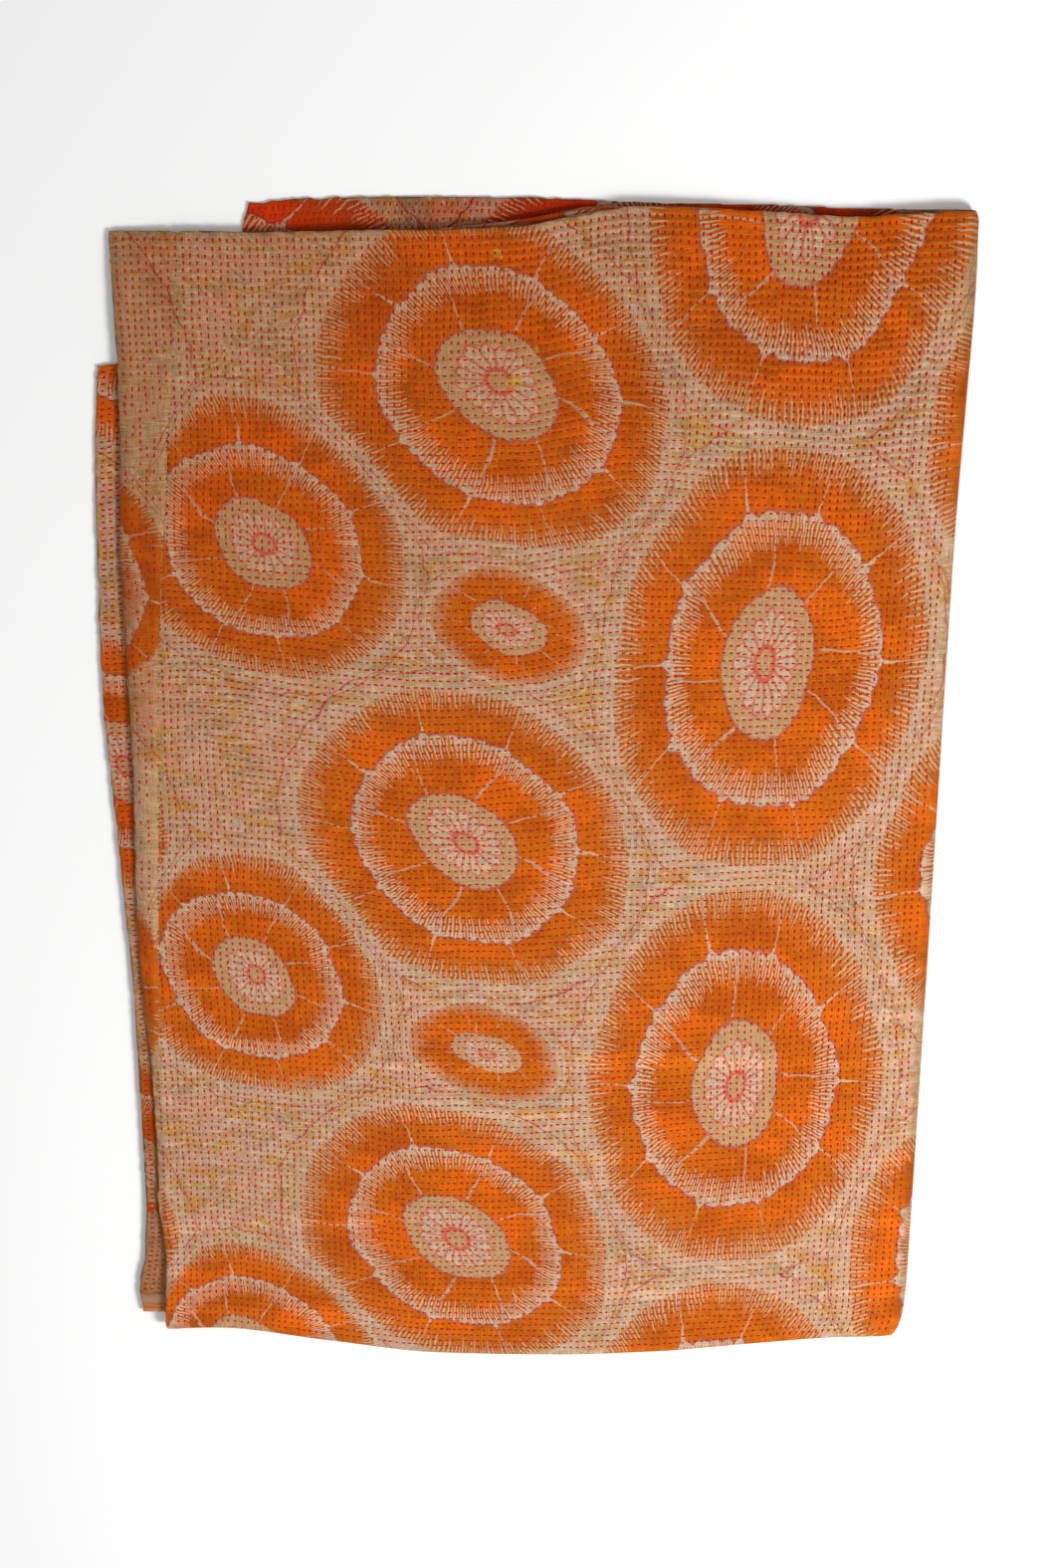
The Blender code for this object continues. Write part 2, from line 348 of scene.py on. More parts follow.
def middle(column, row):
    """The middle of the sheet; its thickness and way to the hem come along."""
    share = np.clip(np.abs(column) - 1, 0, 1)
    upper = np.ones(len(column), bool)
    high, thick_high, hem_high = lie(upper, row, np.where(column > 0, share, 0))
    low, thick_low, hem_low = lie(~upper, row, np.where(column < 0, share, 0))
    turn = np.radians(90 * np.clip(column, -1, 1))
    part = (1 + np.sin(turn)) / 2
    point = low + (high - low) * part
    point[0] += ((high[2] - low[2]) / 2 + FOLD_EASE) * np.cos(turn)
    thick = np.where(column > 0, thick_high, thick_low)
    return point, thick, np.where(column > 0, hem_high, hem_low)


def normal(column, row):
    """Unit normals on the side of the front face."""
    small = 0.002
    along_column = middle(column + small, row)[0] - middle(column - small, row)[0]
    along_row = middle(column, row + small)[0] - middle(column, row - small)[0]
    across = np.cross(along_row.T, along_column.T)
    return (across / np.linalg.norm(across, axis=1)[:, None]).T


def cloth_point(column, row, front, height):
    """Points and normals of the front or the back face, with the rim rounded off."""
    point, thick, to_hem = middle(column, row)
    away = normal(np.clip(column, -1.995, 1.995), np.clip(row, -1.995, 1.995))
    near = np.clip(1 - to_hem / (RIM[0] + 0.0001), 0, 1)
    half = thick / 2 * (RIM_THIN + (1 - RIM_THIN) * np.sqrt(1 - near ** 2))
    return point + away * np.where(front, half + height, -half), away


# ---- rows of stitches on the top layer ----
def lattice(column, row):
    """Where a place lies among the stitch rows: whole numbers are stitches."""
    return ROWS_ACROSS * np.clip(column - 1, 0, 1), ROWS_ALONG * np.clip(row - 1, 0, 1)


def rough_place(column, row):
    """x and y of a place on the top layer, near enough for slow variations."""
    return START_X - WIDTH * np.clip(column - 1, 0, 1), START_Y + LENGTH * np.clip(row - 1, 0, 1)


def runs_across(x, y):
    """1 where the rows of stitches run across, 0 where they run along."""
    y = y + ZONE_BLUR * field(x, y, 0.030, SEED + 2)
    x = x + ZONE_BLUR * field(x, y, 0.030, SEED + 3)
    left, right = column_of(CROSS_ROWS, y, 1), column_of(CROSS_ROWS, y, 2)
    room = least(x - left, right - x, CROSS_ROWS[0][0] - y)
    return step(0.5 + room / (2 * ZONE_BLUR))


def wander(column, row):
    """The same places after the drift of hand-sewn rows, as column and row."""
    x, y = rough_place(column, row)
    i, j = lattice(column, row)
    to_x = ROW_WANDER * field(x, y, 0.080, SEED + 4)
    to_y = ROW_WANDER * field(x, y, 0.060, SEED + 5) + ROW_PHASE * field(x, y, 0.022, SEED + 13)
    for x_mid, y_mid, reach_x, reach_y, rise in ROW_SLANTS:
        part_x, part_y = (x - x_mid) / reach_x, (y - y_mid) / reach_y
        to_y -= rise * part_x * np.exp(0.5 - part_x ** 2 / 2 - part_y ** 2)
    count = 2 + max(ROWS_ACROSS, ROWS_ALONG)
    phases = np.random.default_rng(SEED + 6).uniform(-1, 1, (2, count))
    across = runs_across(x, y)
    to_y += ROW_PHASE * (1 - across) * np.interp(i, range(count), phases[0])
    to_x += ROW_PHASE * across * np.interp(j, range(count), phases[1])
    fade = step(least(column - 1, 2 - column, row - 1, 2 - row) / 0.05)
    return column - fade * to_x / WIDTH, row + fade * to_y / LENGTH


def edge_room(column, row):
    """How far inside the top layer's hems and folds a place lies."""
    return least((column - 1) * WIDTH, (2 - column) * WIDTH, (row - 1) * LENGTH, (2 - row) * LENGTH)


def seam_distance(x, y):
    """How far right of the joined strip's seam a place lies."""
    return x - column_of(SEAM, y)


def relief(column, row, x, y):
    """Puckers, crumples and the seam on the top layer's face."""
    on_row = np.cos(2 * np.pi * lattice(column, row)[1])
    flatter_left = 0.5 + 0.5 * step((x + 0.30) / 0.25)
    deeper_top_right = 1 + 0.7 * step((x + 0.15) / 0.25) * step((y - 0.15) / 0.25)
    uneven = 1 + 0.6 * field(x, y, 0.032, SEED + 7)
    strength = column_of(PUCKER_GROWS, y) * flatter_left * uneven * deeper_top_right
    height = -on_row * strength * (RIDGE + (FURROW - RIDGE) * runs_across(x, y))
    height += CRUMPLE * field(x, y, 0.006, SEED + 8) + 2 * CRUMPLE * field(x, y, 0.015, SEED + 9)
    seam = seam_distance(x, y)
    height -= SEAM_DEEP * np.exp(-(seam / SEAM_WIDE) ** 2)
    height += SEAM_RISE * np.exp(-((seam - 2.2 * SEAM_WIDE) / (2 * SEAM_WIDE)) ** 2)
    flat = (column > 1) & (row > 1)
    return np.where(flat, height * (0.25 + 0.75 * step(edge_room(column, row) / 0.006)), 0.0)


# ---- the sheet's mesh ----
def spread(low, high, count):
    """Places from low to high, both included."""
    return np.linspace(low, high, count + 1)


LEFT_RIM, HIGH_RIM = ([2 - distance / size for distance in RIM] for size in (WIDTH, LENGTH))
FAR_LEFT_RIM, FAR_HIGH_RIM = ([-place for place in rim[::-1]] for rim in (LEFT_RIM, HIGH_RIM))
FOLD = spread(-1, 1, FOLD_TURNS)
OPEN_COLUMNS, SEAM_COLUMNS = 104, 28  # right of the seam, and about it
LOW_ROWS = 92           # with 3 lines each, the rest with 4
OPEN_END, LOW_END = 1 + OPEN_COLUMNS / ROWS_ACROSS, 1 + LOW_ROWS / ROWS_ALONG
FINE_COLUMNS = np.r_[
    FOLD[:-1], spread(1, OPEN_END, OPEN_COLUMNS)[:-1],
    spread(OPEN_END, 2, SEAM_COLUMNS)[:-1], LEFT_RIM,
]
FINE_ROWS = np.r_[
    FOLD[:-1], spread(1, LOW_END, 3 * LOW_ROWS)[:-1],
    spread(LOW_END, 2, 4 * (ROWS_ALONG - LOW_ROWS))[:-1], HIGH_RIM,
]
COARSE = np.r_[spread(-1, 1, 6)[:-1], spread(1, 1.97, 15), 1.985]
THIRD_STRIP = 0.052     # of the third layer's width, seen beside the top layer
BOTTOM_STRIP = 0.030    # of the bottom layer's length, seen above the top layer
THIRD_GROUND = -0.424   # no flower on the third layer's strip below this

# Each block is a grid of the cloth's front or back face, with its chart: the sides of
# its place in the picture that the colours are baked to.
BLOCKS = {
    # name: (front, columns, rows, (left, low, right, high))
    "top": (True, FINE_COLUMNS, FINE_ROWS, (0.005, 0.010, 0.663, 0.990)),
    "under": (
        True,
        np.r_[FAR_LEFT_RIM, spread(-1.98, -HIDDEN, 12)],
        np.r_[COARSE, HIGH_RIM],
        (0.780, 0.010, 0.990, 0.330),
    ),
    "second": (
        True,
        np.r_[COARSE, LEFT_RIM],
        np.r_[FAR_HIGH_RIM, spread(-1.98, -HIDDEN, 14)],
        (0.780, 0.350, 0.990, 0.500),
    ),
    "third": (
        True,
        np.r_[FAR_LEFT_RIM, spread(-1.995, -2 + THIRD_STRIP, 10), spread(-1.9, -HIDDEN, 5)],
        np.r_[FAR_HIGH_RIM, spread(-1.996, -HIDDEN, 200)],
        (0.675, 0.010, 0.765, 0.990),
    ),
    "back": (
        False,
        np.r_[FAR_LEFT_RIM, spread(-1.995, -1, 150)[:-1], FOLD[:-1], spread(1, 1.98, 16), LEFT_RIM],
        np.r_[
            FAR_HIGH_RIM, -1.996, -1.99, spread(-1.98, -1, 16)[:-1], FOLD[:-1],
            spread(1, 2 - BOTTOM_STRIP, 14), spread(2 - BOTTOM_STRIP, 1.996, 9)[1:], HIGH_RIM,
        ],
        (0.780, 0.520, 0.990, 0.990),
    ),
}
CHART_STRETCH = {
    # name: share of the chart that the named strip gets (column side, row side)
    "third": ((-2, 0.0), (-2 + THIRD_STRIP, 0.8), (-HIDDEN, 1.0)),
    "back": ((-2, 0.0), (2 - BOTTOM_STRIP, 0.7), (2, 1.0)),
}


def way_along(place, places):
    """A place as a share of the way along the real cloth, where a fold is short."""
    def way(value):
        return np.clip(value, -1, 1) * 0.01 + np.sign(value) * np.clip(np.abs(value) - 1, 0, 2)
    first, last = way(places[0]), way(places[-1])
    return (way(place) - first) / (last - first)


def chart_place(name, column, row):
    """A block's chart: its columns and rows as places in the baked picture."""
    _, columns, rows, (left, low, right, high) = BLOCKS[name]
    across, along = way_along(column, columns), way_along(row, rows)
    if name == "third":
        across = np.interp(column, *zip(*CHART_STRETCH[name]))
    if name == "back":
        along = np.interp(row, *zip(*CHART_STRETCH[name]))
    return left + (right - left) * across, low + (high - low) * along


def flat_place(name, column, row, x, y):
    """Where a point lies on the flat printed cloth, with the folds undone."""
    x_fold, y_fold = edge(RIGHT_FOLD, 1, y), edge(BOTTOM_FOLD, UPPER_PAIR, x)
    u = np.where(column < 0, 2 * x_fold - x, x)
    v = np.where(row < 0, 2 * y_fold - y, y)
    if name == "third":     # a joined length: a flower crosses the strip that shows
        return -0.642 - x, -0.0835 - y
    if name == "back":      # another cloth, turned a quarter on the lower layers
        return np.where(column < 0, y - 0.274, u + 0.13), np.where(column < 0, x + 0.024, v - 0.21)
    return u, v


def zip_strip(first, second):
    """Triangles between two lines of corners side by side: (places, corners) each."""
    faces, i, j = [], 0, 0
    (place_a, line_a), (place_b, line_b) = first, second
    while i < len(line_a) - 1 or j < len(line_b) - 1:
        spent = j == len(line_b) - 1
        if spent or (i < len(line_a) - 1 and place_a[i + 1] <= place_b[j + 1]):
            faces.append((line_a[i], line_a[i + 1], line_b[j]))
            i += 1
        else:
            faces.append((line_a[i], line_b[j + 1], line_b[j]))
            j += 1
    return faces


def block(name):
    """One block's points, and the values that go with them."""
    front, columns, rows, _ = BLOCKS[name]
    column, row = pairs(columns, rows)
    moved = wander(column, row) if name == "top" else (column, row)
    x, y, _ = middle(*moved)[0]
    if name == "top":
        height = relief(column, row, x, y)
    else:
        shown = (name == "third") | ((name == "back") & (row > 1))
        height = np.where(shown, 0.5 * CRUMPLE * field(x, y, 0.008, SEED + 10), 0.0)
    point, _ = cloth_point(*moved, front, height)
    x, y, _ = point
    u, v = flat_place(name, *moved, x, y)
    seam = np.where((name == "third") & (y < THIRD_GROUND), -1.0, 1.0)
    seam = np.where((column > 0) & (row > 0) & front, seam_distance(x, y), seam)
    # The back's redder cloth with painted shade of the layers above; the third layer's strip gets a share
    # of that painted shade.
    back = np.full(len(u), {"third": 0.30, "back": 1.0}.get(name, 0.0))
    i, j = lattice(column, row) if name == "top" else (back * 0, back * 0)
    return point.T, [column, row, back, u, v, seam, i, j, runs_across(x, y)]


STRIPS = (
    # chart, side and blocks of one line, side and block of the line beside it
    ("under", ("right", "under"), ("left", "top")),
    ("second", ("high", "second"), ("low", "top")),
    ("third", ("high", "third"), ("low", "under")),
    ("third", ("right", "third"), ("left", "second")),
    ("third", ("left", "third", "under"), ("left", "back")),
    ("top", ("right", "second", "top"), ("right", "back")),
    ("second", ("low", "third", "second"), ("low", "back")),
    ("top", ("high", "under", "top"), ("high", "back")),
)


def line(grids, side, *names):
    """One side of blocks that follow each other: its places and its corners."""
    upright = side in ("left", "right")
    places = [BLOCKS[name][2 if upright else 1] for name in names]
    edge_at = 0 if side in ("left", "low") else -1
    corners = [(grids[name] if upright else grids[name].T)[edge_at] for name in names]
    return np.concatenate(places), np.concatenate(corners)


def sheet_parts():
    """Points, faces, charts and the values at the points of the whole closed sheet."""
    points, faces, charts, values, grids, total = [], [], [], [], {}, 0
    for name, (_, columns, rows, _) in BLOCKS.items():
        block_points, block_values = block(name)
        points.append(block_points)
        values.append(block_values)
        grid = total + np.arange(len(block_points)).reshape(len(columns), len(rows))
        square = [grid[:-1, :-1], grid[1:, :-1], grid[1:, 1:], grid[:-1, 1:]]
        faces += np.stack([part.ravel() for part in square], axis=1).tolist()
        charts += [name] * (len(faces) - len(charts))
        grids[name] = grid
        total += grid.size
    for chart, first, second in STRIPS:
        faces += zip_strip(line(grids, *first), line(grids, *second))
        charts += [chart] * (len(faces) - len(charts))
    corners = ("top", 0, 0), ("under", -1, 0), ("third", -1, -1), ("second", 0, -1)
    faces.append([grids[name][column, row] for name, column, row in corners])
    charts.append("third")
    return np.concatenate(points), faces, charts, np.concatenate(values, axis=1)


# ---- pieces ----
def add_piece(collection, name, points, faces, material):
    mesh = bpy.data.meshes.new(name)
    mesh.from_pydata(points, [], faces)
    mesh.materials.append(material)
    piece = bpy.data.objects.new(name, mesh)
    collection.objects.link(piece)
    return piece


def corner_points(mesh):
    """The point at each corner of each face."""
    corners = np.zeros(len(mesh.loops), np.int64)
    mesh.loops.foreach_get("vertex_index", corners)
    return corners


def write_map(mesh, places):
    """Give a piece the map that its colours are baked through."""
    layer = mesh.uv_layers.new(name="OFBake")
    layer.uv.foreach_set("vector", places.astype(np.float32).ravel())


def map_charts(mesh, charts, values):
    """Map each face into its chart, and a hem's edge just outside its block's grid."""
    sides = np.zeros(len(mesh.polygons), np.int64)
    mesh.polygons.foreach_get("loop_total", sides)
    names = np.repeat(charts, sides)
    column, row, back = values[:3, corner_points(mesh)]
    outward = np.where((back > 0.5) & (names != "back"), 0.004, 0.0)
    column = column + np.sign(column) * outward * (np.abs(column) > 1.9999)
    row = row + np.sign(row) * outward * (np.abs(row) > 1.9999)
    places = np.zeros((len(names), 2))
    for name in BLOCKS:
        mine = names == name
        places[mine] = np.stack(chart_place(name, column[mine], row[mine]), axis=1)
    write_map(mesh, np.clip(places, 0.001, 0.999))


def write_attribute(mesh, name, *values):
    """One value, or three as a vector, at each of the mesh's points."""
    kind, field_name = ("FLOAT_VECTOR", "vector") if len(values) == 3 else ("FLOAT", "value")
    attribute = mesh.attributes.new(name, kind, "POINT")
    attribute.data.foreach_set(field_name, np.stack(values, axis=1).astype(np.float32).ravel())


def make_cloth(collection):
    points, faces, charts, values = sheet_parts()
    cloth = add_piece(collection, "quilt_cloth", points.tolist(), faces, cotton_print())
    mesh = cloth.data
    map_charts(mesh, charts, values)
    _, _, back, u, v, seam, i, j, across = values
    write_attribute(mesh, "flat_cloth", u, v, back)
    write_attribute(mesh, "seam", seam)
    write_attribute(mesh, "stitch_rows", i, j, across)
    outwards = bmesh.new()
    outwards.from_mesh(mesh)
    bmesh.ops.recalc_face_normals(outwards, faces=outwards.faces)
    outwards.to_mesh(mesh)
    outwards.free()
    mesh.shade_smooth()
    return cloth


# ---- stitches ----
def unit(vectors):
    return vectors / np.linalg.norm(vectors, axis=1)[:, None]


STATIONS = (
    # along, rise, size: a stitch from one end to the other, in its half sizes
    (-1.0, -0.9, 0.0),
    (-0.6, 0.3, 1.0),
    (0.6, 0.3, 1.0),
    (1.0, -0.9, 0.0),
)
RING = 4                # corners round a stitch
THREAD_RING = 6         # and round a thread that lies on the cloth


def beads(stations, wide=THREAD_WIDE, high=THREAD_HIGH):
    """Points and faces of many stitches: pointed beads whose ends dip into the cloth.

    stations: for each of STATIONS the stitches' places and normals on the cloth.
    """
    along = unit(stations[-1][0] - stations[0][0])
    rings = []
    for (place, up), (_, rise, size) in zip(stations, STATIONS):
        centre = (place + up * high * rise)[:, None]
        if not size:
            rings.append(centre)
            continue
        side = np.cross(up, along)
        angles = 2 * np.pi * np.arange(RING)[:, None] / RING
        sideways, upwards = wide * size * np.cos(angles), high * size * np.sin(angles)
        rings.append(centre + (side[:, None] * sideways + up[:, None] * upwards))
    points = np.concatenate(rings, axis=1)
    faces, last = [], 2 * RING + 1
    for turn in range(RING):
        a, b = 1 + turn, 1 + (turn + 1) % RING
        faces += [(0, b, a), (a, b, b + RING, a + RING), (a + RING, b + RING, last)]
    count, size, _ = points.shape
    starts = range(0, count * size, size)
    faces = [[start + corner for corner in face] for start in starts for face in faces]
    return points.reshape(-1, 3), faces


def make_threads(collection, name, parts, material):
    """One piece of several lots of thread: (points, faces) each."""
    points, faces, total = [], [], 0
    for part_points, part_faces in parts:
        points.append(part_points)
        faces += [[corner + total for corner in face] for face in part_faces]
        total += len(part_points)
    points = np.concatenate(points)
    piece = add_piece(collection, name, points.tolist(), faces, material)
    piece.data.shade_smooth()
    low = points[:, :2].min(axis=0) - 0.01
    size = (points[:, :2].max(axis=0) + 0.01 - low).max()
    write_map(piece.data, (points[corner_points(piece.data), :2] - low) / size)
    return piece


def sewn(places, grid, front, length, turned, random):
    """Stitches at places of the cloth: turned ones across the layer, others along it.

    places: column and row as they lie; grid: the same before the rows' drift.
    """
    half = length / 2
    lean = random.normal(0, 0.07, len(length))
    across, ahead = np.where(turned, half, half * lean), np.where(turned, half * lean, half)
    stations = []
    for share, _, _ in STATIONS:
        shift = share * across / WIDTH, share * ahead / LENGTH
        column, row = places[0] + shift[0], places[1] + shift[1]
        x, y, _ = middle(column, row)[0]
        height = relief(grid[0] + shift[0], grid[1] + shift[1], x, y) if front else 0.0
        point, up = cloth_point(column, row, front, height)
        stations.append((point.T, up.T if front else -up.T))
    return beads(stations)


def top_stitches():
    """Running stitches of the top layer, in two lots: lower and upper half."""
    random = np.random.default_rng(SEED + 20)
    i, j = pairs(np.arange(1, ROWS_ACROSS), np.arange(1, ROWS_ALONG))
    column, row = 1 + i / ROWS_ACROSS, 1 + j / ROWS_ALONG
    count = len(column)
    length = STITCH_LENGTH * (1 + 0.16 * random.normal(0, 1, count).clip(-2, 2))
    slip = random.normal(0, 0.00028, (2, count))
    moved_column, moved_row = wander(column, row)
    moved_column, moved_row = moved_column + slip[0] / WIDTH, moved_row + slip[1] / LENGTH
    x, y = rough_place(column, row)
    turned = random.uniform(0, 1, count) < runs_across(x, y)
    x, y, _ = middle(moved_column, moved_row)[0]
    seam = seam_distance(x, y)
    plain = step((PLAIN_TOP - y) / 0.08)
    kept = (seam > SEAM_CLEAR) | (seam < -SEAM_CLEAR - PLAIN_BAND * plain)
    kept &= edge_room(column, row) > EDGE_CLEAR
    kept &= random.uniform(0, 1, count) > np.where(seam < 0, 0.45 * plain, 0.015)
    lots = []
    for half in (moved_row < 1.5, moved_row >= 1.5):
        mine = half & kept
        places, grid = (moved_column[mine], moved_row[mine]), (column[mine], row[mine])
        lots.append(sewn(places, grid, True, length[mine], turned[mine], random))
    return lots


def strip_stitches():
    """Running stitches on the strips of the third and the bottom layer that show."""
    random = np.random.default_rng(SEED + 21)
    lots = []
    for front, from_left, from_top in (
        # front, from and to as seen from the left hem, and from the top hem
        (True, (0.0062, 0.036), (0.006, LENGTH - 0.03)),
        (False, (0.006, WIDTH - 0.03), (0.0055, 0.033)),
    ):
        from_left, from_top = pairs(*(np.arange(*way, STRIP_PITCH) for way in (from_left, from_top)))
        count = len(from_left)
        column = -2 + (from_left + random.normal(0, 0.0005, count)) / WIDTH
        row = 2 - (from_top + random.normal(0, 0.0005, count)) / LENGTH
        places = column, -row if front else row
        length = STITCH_LENGTH * (1 + 0.15 * random.normal(0, 1, count).clip(-2, 2))
        lots.append(sewn(places, places, front, length, np.full(count, front), random))
    return lots


def seam_stitches():
    """Small dark stitches over the joined strip's seam."""
    random = np.random.default_rng(SEED + 22)
    y = np.arange(*SEAM_SEWN, SEAM_STITCH)
    y = y + random.normal(0, 0.0006, len(y))
    dense = (y > SEAM_DENSE[0]) & (y < SEAM_DENSE[1])
    y = y[dense | (random.uniform(0, 1, len(y)) < 0.45)]
    x = column_of(SEAM, y) + random.normal(0, 0.0003, len(y))
    turn = np.arctan(SEAM_STITCH_LEAN) + random.normal(0, 0.15, len(x))
    stations = []
    for share, _, _ in STATIONS:
        reach = share * SEAM_STITCH_LENGTH / 2
        stations.append(top_surface(x + reach * np.sin(turn), y + reach * np.cos(turn)))
    return beads(stations, SEAM_THREAD_WIDE, SEAM_THREAD_HIGH)


def top_surface(x, y):
    """Points and normals of the top layer's face over x and y."""
    column, row = np.full(len(x), 1.5), np.full(len(x), 1.5)
    for _ in range(6):
        place = middle(column, row)[0]
        column = np.clip(column - (x - place[0]) / WIDTH, 1, 2)
        row = np.clip(row + (y - place[1]) / LENGTH, 1, 2)
    point, up = cloth_point(column, row, True, relief(column, row, x, y))
    return point.T, up.T


# A loose end of thread that lies in a loop on the top layer, and a bit of white lint.
LOOSE_END = (
    # x      y
    (0.199, 0.566),
    (0.192, 0.542),
    (0.181, 0.526),
    (0.168, 0.517),
    (0.152, 0.510),
    (0.137, 0.517),
    (0.132, 0.531),
    (0.139, 0.544),
    (0.151, 0.548),
    (0.162, 0.543),
    (0.170, 0.529),
    (0.178, 0.509),
    (0.182, 0.496),
    (0.174, 0.486),
    (0.158, 0.480),
    (0.146, 0.482),
)
LINT = ((-0.0100, -0.5090), (-0.0105, -0.5130), (-0.0080, -0.5190), (-0.0072, -0.5260))
LOOSE_THREAD, LINT_THREAD = 0.00026, 0.00030  # radii


def smooth_line(points, count):
    """A Catmull-Rom line through given points."""
    points = np.array(points)
    padded = np.vstack([2 * points[0] - points[1], points, 2 * points[-1] - points[-2]])
    place = np.linspace(0, len(points) - 1 - 1e-6, count)
    first = np.floor(place).astype(int)
    t = (place - first)[:, None]
    a, b, c, d = (padded[first + offset] for offset in range(4))
    curved = (2 * a - 5 * b + 4 * c - d) * t ** 2 + (3 * b - a - 3 * c + d) * t ** 3
    return 0.5 * (2 * b + (c - a) * t + curved)


def lying_thread(points, radius, count):
    """A thread that lies on the top layer along given points."""
    line = smooth_line(points, count)
    place, up = top_surface(line[:, 0], line[:, 1])
    centre = place + up * radius * 1.3
    along = unit(np.gradient(centre, axis=0))
    side = unit(np.cross(up, along))
    lift = np.cross(along, side)
    from_end = np.minimum(np.arange(count), np.arange(count)[::-1])
    taper = np.minimum(1, 0.35 + from_end / 3)[:, None]
    rings = []
    for turn in range(THREAD_RING):
        angle = 2 * math.pi * turn / THREAD_RING
        rings.append(centre + (side * math.cos(angle) + lift * math.sin(angle)) * radius * taper)
    faces = []
    for first in range(0, (count - 1) * THREAD_RING, THREAD_RING):
        for turn in range(THREAD_RING):
            a, b = first + turn, first + (turn + 1) % THREAD_RING
            faces.append([a, b, b + THREAD_RING, a + THREAD_RING])
    faces.append(list(range(THREAD_RING))[::-1])
    faces.append([(count - 1) * THREAD_RING + turn for turn in range(THREAD_RING)])
    return np.stack(rings, axis=1).reshape(-1, 3), faces


# ---- materials ----
def linear(red, green, blue):
    """A colour given as it shows on a screen, 0 to 255, for a shader."""
    def one(value):
        value /= 255
        return value / 12.92 if value <= 0.04045 else ((value + 0.055) / 1.055) ** 2.4
    return (one(red), one(green), one(blue), 1.0)


ORANGE = linear(190, 95, 12)
ORANGE_DEEP = linear(176, 82, 8)
ORANGE_BRIGHT = linear(208, 96, 10)
ORANGE_DULL = linear(172, 100, 40)
GROUND_TAN = linear(182, 136, 76)
GROUND_PINK = linear(188, 144, 118)
GROUND_GREY = linear(160, 134, 100)
GROUND_ROSE = linear(196, 140, 112)
CORE_TAN = linear(182, 142, 100)
PALE = linear(192, 168, 141)
PINK_LINE = linear(164, 76, 68)
ROSE_LINE = linear(196, 78, 62)
STAIN = linear(176, 138, 48)
RED_THREAD = linear(206, 22, 6)
DARK_THREAD = linear(120, 26, 12)
OCHRE_THREAD = linear(206, 128, 54)
LINT_WHITE = linear(226, 214, 200)
FLOOR_WHITE = (0.97, 0.97, 0.965, 1.0)
# These multiply the print's colour.
# painted shade: the print darker and browner towards the top left, where less light falls
SHADE_TOP_LEFT = (0.83, 0.72, 0.59, 1.0)  # towards the top left
STRIP = (0.92, 0.82, 0.74, 1.0)  # on the joined strip
BAND_HIGHLIGHT = (1.06, 0.95, 0.78, 1.0)  # on its band without stitches, painted lighter as a highlight along the seam's fold
BACK_CLOTH_AND_SHADE = (1.30, 1.55, 2.00, 1.0)  # on the back, a redder cloth with painted shade of the layers above; the print's colour is squared too
FOLD_SHADE = (0.62, 0.55, 0.48, 1.0)  # painted shade along the long fold, where the cloth turns away from the light
FOLD_SHADE_AT, FOLD_SHADE_WIDE = 0.4000, 0.012  # the fold on the flat cloth, and how far it shows
STAINS = (
    # x      y      size   strength
    (-0.007, 0.434, 0.009, 0.8),
    (-0.022, 0.545, 0.006, 0.8),
    (0.012, 0.462, 0.004, 0.7),
    (0.157, 0.392, 0.024, 0.4),
    (0.190, 0.372, 0.016, 0.35),
)
REPEAT = (0.985, 0.4375)  # of the print, across and along
LEAN, BOW = 0.048, 0.035  # how the print leans and bows along the cloth
SHAKES = ((9.0, 0.024), (75.0, 0.004))  # how unevenly it lies: a noise's scale and reach
PUSHES = (
    # x      y      reach  to x    to y: where the cloth was drawn aside in sewing
    (0.250, 0.560, 0.140, -0.011, -0.018),
    (-0.030, 0.330, 0.180, 0.010, 0.000),
    (0.190, -0.260, 0.160, 0.006, -0.005),
    (-0.270, -0.600, 0.120, -0.012, 0.003),
    (-0.190, -0.140, 0.060, -0.007, -0.002),
    (-0.060, -0.440, 0.120, 0.002, -0.003),
    (0.380, -0.490, 0.080, 0.010, -0.004),
    (0.330, 0.460, 0.060, 0.009, -0.003),
    (0.170, -0.600, 0.120, 0.000, -0.014),
)
# Flowers of one repeat. Long and short are half sizes of the scalloped ring.
FLOWERS = (
    # x      y       long   short  tilt  small
    (-0.055, -0.008, 0.122, 0.095, -38.0, False),
    (-0.258, -0.150, 0.104, 0.080, -47.0, False),
    (0.221, 0.171, 0.146, 0.104, 91.0, False),
    (0.499, -0.047, 0.134, 0.108, 97.0, False),
    (-0.030, 0.204, 0.077, 0.050, -20.0, True),
)
UPRIGHT_FROM = 1.5      # the flowers numbered above this stand upright
GAP_MOST = 1.64         # the thin outline round a flower lies no further out
SMALL_SKIPS = 0.42      # a small flower has no ring: it goes on from here
# Places inside a flower are shares of its ring's size.
CORE, CORE_SCALLOPS = 0.47, 27
EYE, PETAL, PETALS = 0.105, 0.345, 18
RING_SCALLOPS, UPRIGHT_SCALLOPS = 54, 40  # the upright flowers have wider scallops
RING_STROKES, EDGE_STROKES = 186, 250
RAYS, SPIKES = 8, 10
STRIP_FLOWERS = (
    # x      y      reach  to x    to y: its shift to the print's flower like it
    (-0.429, 0.262, 0.124, 0.1710, -0.4120),
    (-0.497, -0.165, 0.152, 0.7180, 0.3360),
)
BUMP = 0.0005           # height of the weave and the fine crumples
YARN, TWIST = 0.0009, 0.0007  # pitch of the weave and of a thread's twist
WHOLE_TURN = 2 * math.pi


